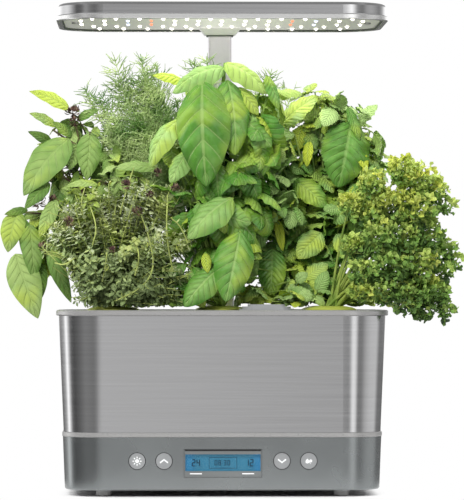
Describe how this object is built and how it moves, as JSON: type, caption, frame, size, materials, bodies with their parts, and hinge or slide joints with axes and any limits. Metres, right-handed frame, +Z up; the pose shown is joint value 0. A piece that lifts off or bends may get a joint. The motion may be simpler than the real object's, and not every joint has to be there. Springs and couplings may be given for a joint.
{
  "type": "countertop hydroponic garden",
  "caption": "Planted countertop hydroponic garden: steel-wrapped water bowl on a control base, herb pods in a grow deck, LED lamp hood on a sliding mast.",
  "frame": {"origin": "on the surface the garden stands on, under the middle of its plan", "axes": "+X to the right seen from the control panel, +Y to the back, +Z up"},
  "size_m": [0.3643, 0.16, 0.3939],
  "materials": {
    "base_plastic": "satin",
    "dark_plastic": "matte",
    "foot_rubber": "matte",
    "screw_steel": "satin",
    "trim_silver": "satin",
    "wrap_steel": "satin",
    "bowl_plastic": "gloss",
    "deck_plastic": "satin",
    "lid_plastic": "satin",
    "pump_foam": "matte",
    "clear_tube": "gloss",
    "lead_black": "satin",
    "button_silver": "satin",
    "panel_grey": "satin",
    "window_clear": "gloss",
    "lcd_blue": "gloss",
    "board_green": "satin",
    "board_white": "satin",
    "led_white": "satin",
    "led_red": "satin",
    "led_blue": "satin",
    "mast_metal": "satin",
    "hood_metal": "satin",
    "spreader_metal": "satin",
    "neck_plastic": "satin",
    "shaft_ceramic": "satin",
    "nylon_white": "satin",
    "basket_plastic": "satin",
    "sponge_brown": "matte",
    "collar_green": "satin",
    "thyme_green": "matte",
    "thai_basil_green": "satin",
    "dill_green": "matte",
    "basil_green": "satin",
    "mint_green": "satin",
    "parsley_green": "satin"
  },
  "bodies": {
    "base": {"base_shell": "base_plastic", "base_floor": "base_plastic", "rubber_feet": "foot_rubber", "floor_screws": "screw_steel", "base_trim_band": "trim_silver", "steel_wrap": "wrap_steel", "water_bowl": "bowl_plastic", "rim_ring": "trim_silver", "grow_deck": "deck_plastic", "fill_hinge_pin": "screw_steel", "level_probes": "screw_steel", "pump_housing": "dark_plastic", "pump_cover": "dark_plastic", "pump_shaft": "shaft_ceramic", "pump_filter_foam": "pump_foam", "pump_suction_cups": "lead_black", "riser_tube": "clear_tube", "pump_lead": "lead_black", "display_bezel": "panel_grey", "lcd_panel": "lcd_blue", "display_window": "window_clear", "control_pcb": "board_green", "tact_switches": "dark_plastic", "control_chips": "dark_plastic", "pcb_screws": "screw_steel", "power_jack": "dark_plastic", "base_wires": "lead_black", "mast_socket": "dark_plastic", "mast_outer_tube": "mast_metal", "mast_bushing": "dark_plastic", "mast_friction_pad": "lead_black", "pod_baskets": "basket_plastic", "grow_sponges": "sponge_brown", "pod_collars": "collar_green", "thyme_plant": "thyme_green", "thai_basil_plant": "thai_basil_green", "dill_plant": "dill_green", "basil_plant": "basil_green", "mint_plant": "mint_green", "parsley_plant": "parsley_green", "lamp_lead": "lead_black"},
    "lamp_hood": {"hood_cover": "hood_metal", "hood_bezel": "trim_silver", "led_board": "board_white", "white_leds": "led_white", "red_leds": "led_red", "blue_leds": "led_blue", "heat_spreader": "spreader_metal", "hood_screws": "screw_steel", "hood_neck": "neck_plastic", "mast_inner_tube": "mast_metal", "mast_glide": "nylon_white"},
    "fill_lid": {"fill_lid": "lid_plastic"},
    "button_light": {"button_light": "button_silver"},
    "button_up": {"button_up": "button_silver"},
    "button_down": {"button_down": "button_silver"},
    "button_feed": {"button_feed": "button_silver"},
    "pump_impeller": {"pump_impeller": "nylon_white"}
  },
  "joints": [
    {"name": "lamp_height", "type": "slide", "parent": "base", "child": "lamp_hood", "axis": [0, 0, 1], "range_m": [-0.018, 0.052], "deforming": ["lamp_lead"]},
    {"name": "fill_lid_hinge", "type": "hinge", "parent": "base", "child": "fill_lid", "pos_m": [0.035, -0.0474, 0.1496], "axis": [-1, 0, 0], "range_deg": [0, 85]},
    {"name": "button_light_press", "type": "slide", "parent": "base", "child": "button_light", "axis": [0, 1, 0], "range_m": [0, 0.0008], "stiffness_N_per_m": 1500, "springref_m": -0.0004},
    {"name": "button_up_press", "type": "slide", "parent": "base", "child": "button_up", "axis": [0, 1, 0], "range_m": [0, 0.0008], "stiffness_N_per_m": 1500, "springref_m": -0.0004},
    {"name": "button_down_press", "type": "slide", "parent": "base", "child": "button_down", "axis": [0, 1, 0], "range_m": [0, 0.0008], "stiffness_N_per_m": 1500, "springref_m": -0.0004},
    {"name": "button_feed_press", "type": "slide", "parent": "base", "child": "button_feed", "axis": [0, 1, 0], "range_m": [0, 0.0008], "stiffness_N_per_m": 1500, "springref_m": -0.0004},
    {"name": "impeller_spin", "type": "hinge", "parent": "base", "child": "pump_impeller", "pos_m": [-0.044, 0.021, 0.07], "axis": [0, 1, 0], "continuous": true}
  ]
}
